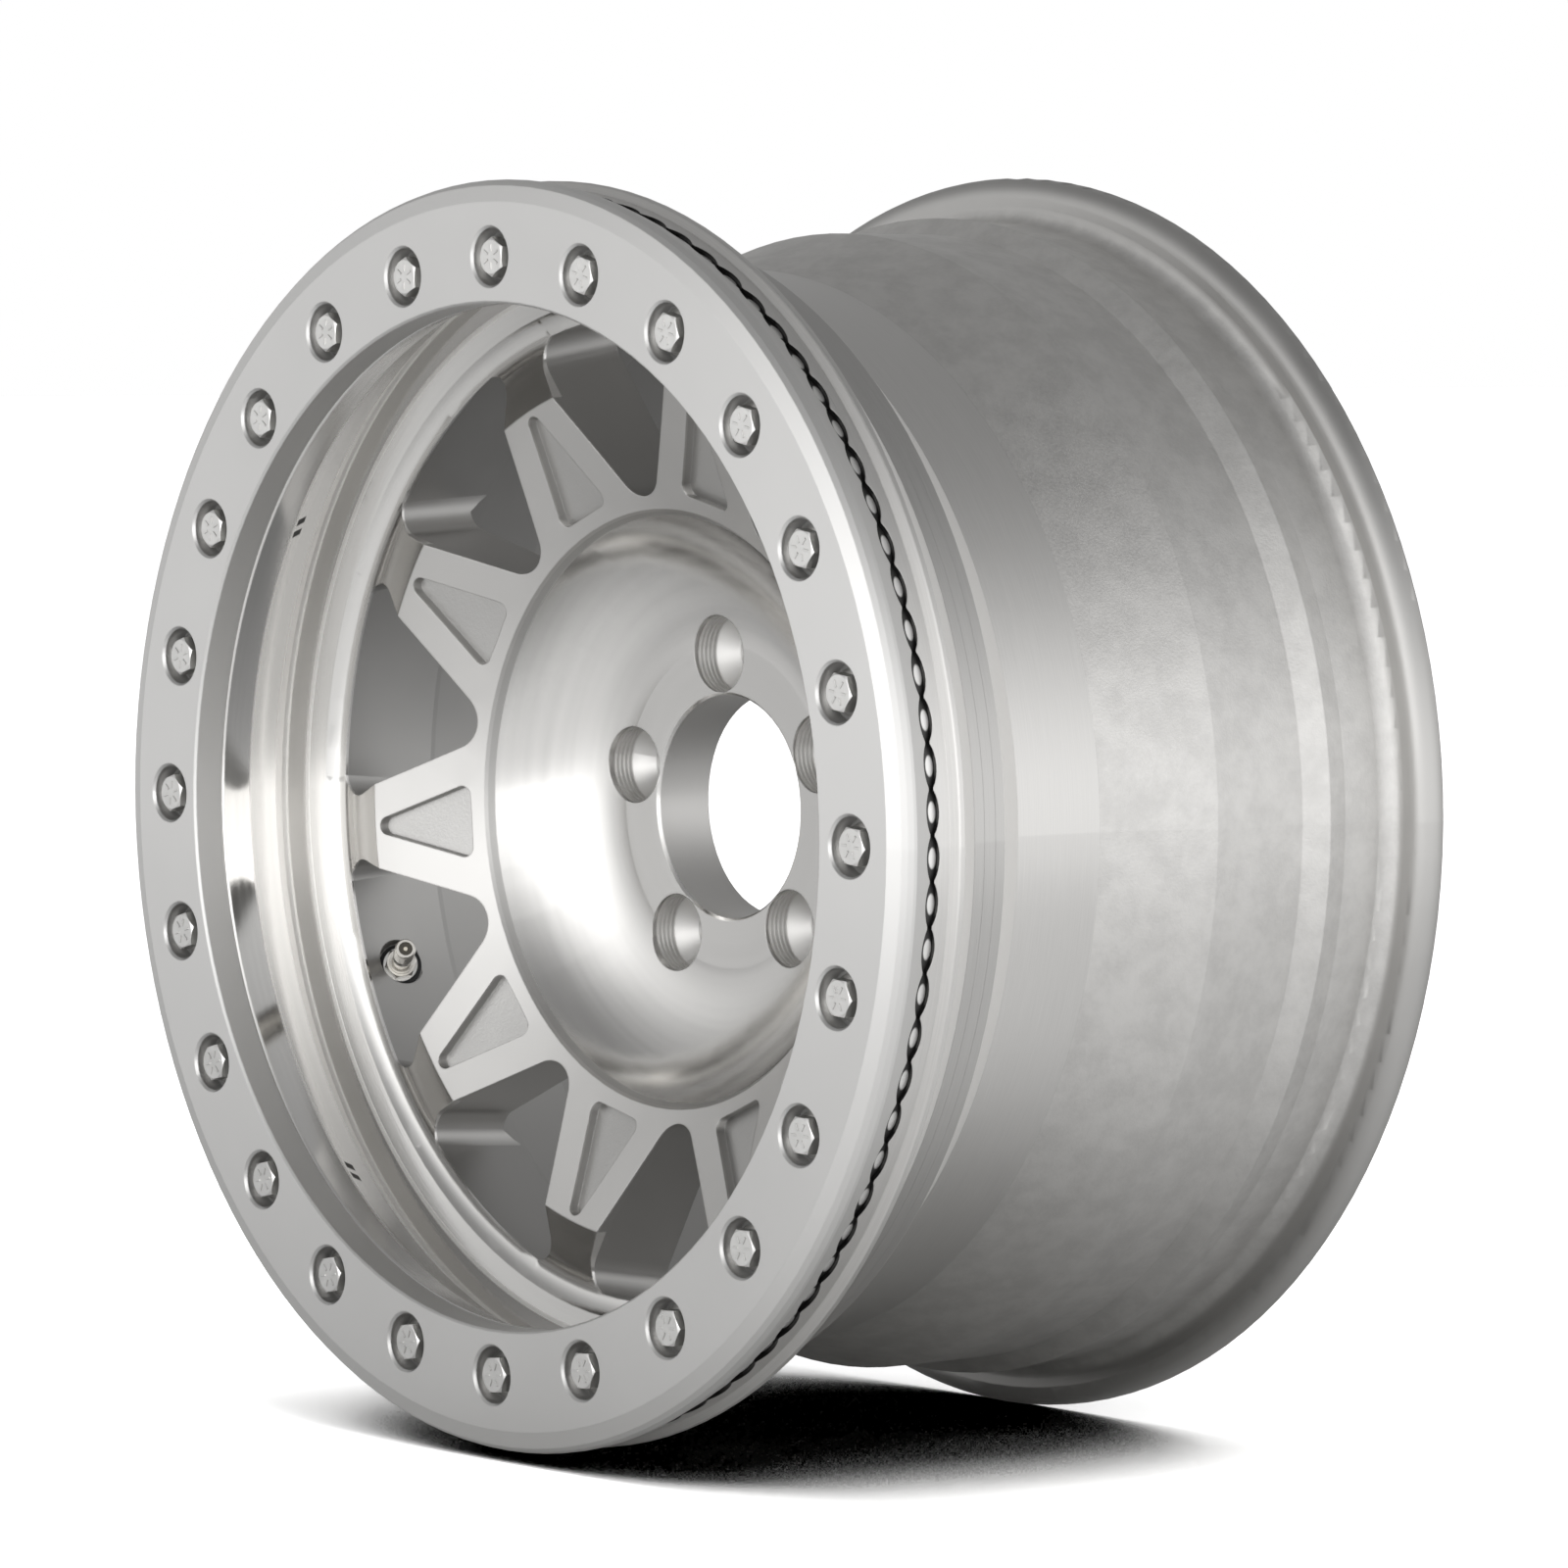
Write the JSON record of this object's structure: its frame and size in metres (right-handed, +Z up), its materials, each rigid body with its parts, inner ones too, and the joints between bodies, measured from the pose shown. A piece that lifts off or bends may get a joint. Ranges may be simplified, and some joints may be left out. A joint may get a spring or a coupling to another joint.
{
  "type": "beadlock wheel",
  "caption": "Bare alloy beadlock wheel with a bolted clamp ring, slotted spoke disc, dished hub and metal valve.",
  "frame": {"origin": "the wheel's centre: on its axis, at the middle of its width", "axes": "+Y along the wheel's axis from the ring's face towards the vehicle, +Z up, +X to the right seen from the ring's side"},
  "size_m": [0.471, 0.254, 0.471],
  "materials": {
    "forged_aluminium": "satin",
    "ring_aluminium": "satin",
    "plated_steel": "satin",
    "valve_metal": "polished",
    "core_brass": "polished",
    "black_rubber": "matte"
  },
  "bodies": {
    "rim": {"wheel": "forged_aluminium", "beadlock_ring": "ring_aluminium", "ring_bolts": "plated_steel", "valve_stem": "valve_metal", "valve_outer_seal": "black_rubber", "valve_inner_seal": "black_rubber", "valve_washer": "plated_steel", "valve_nut": "valve_metal", "valve_core_body": "core_brass", "valve_core_ring": "black_rubber"},
    "valve_pin": {"valve_core_pin": "core_brass", "valve_pin_seal": "black_rubber"}
  },
  "joints": [
    {"name": "valve_pin_press", "type": "slide", "parent": "rim", "child": "valve_pin", "axis": [-0.8069, 0.5, -0.3146], "range_m": [0, 0.0015], "stiffness_N_per_m": 1000, "springref_m": -0.003}
  ]
}
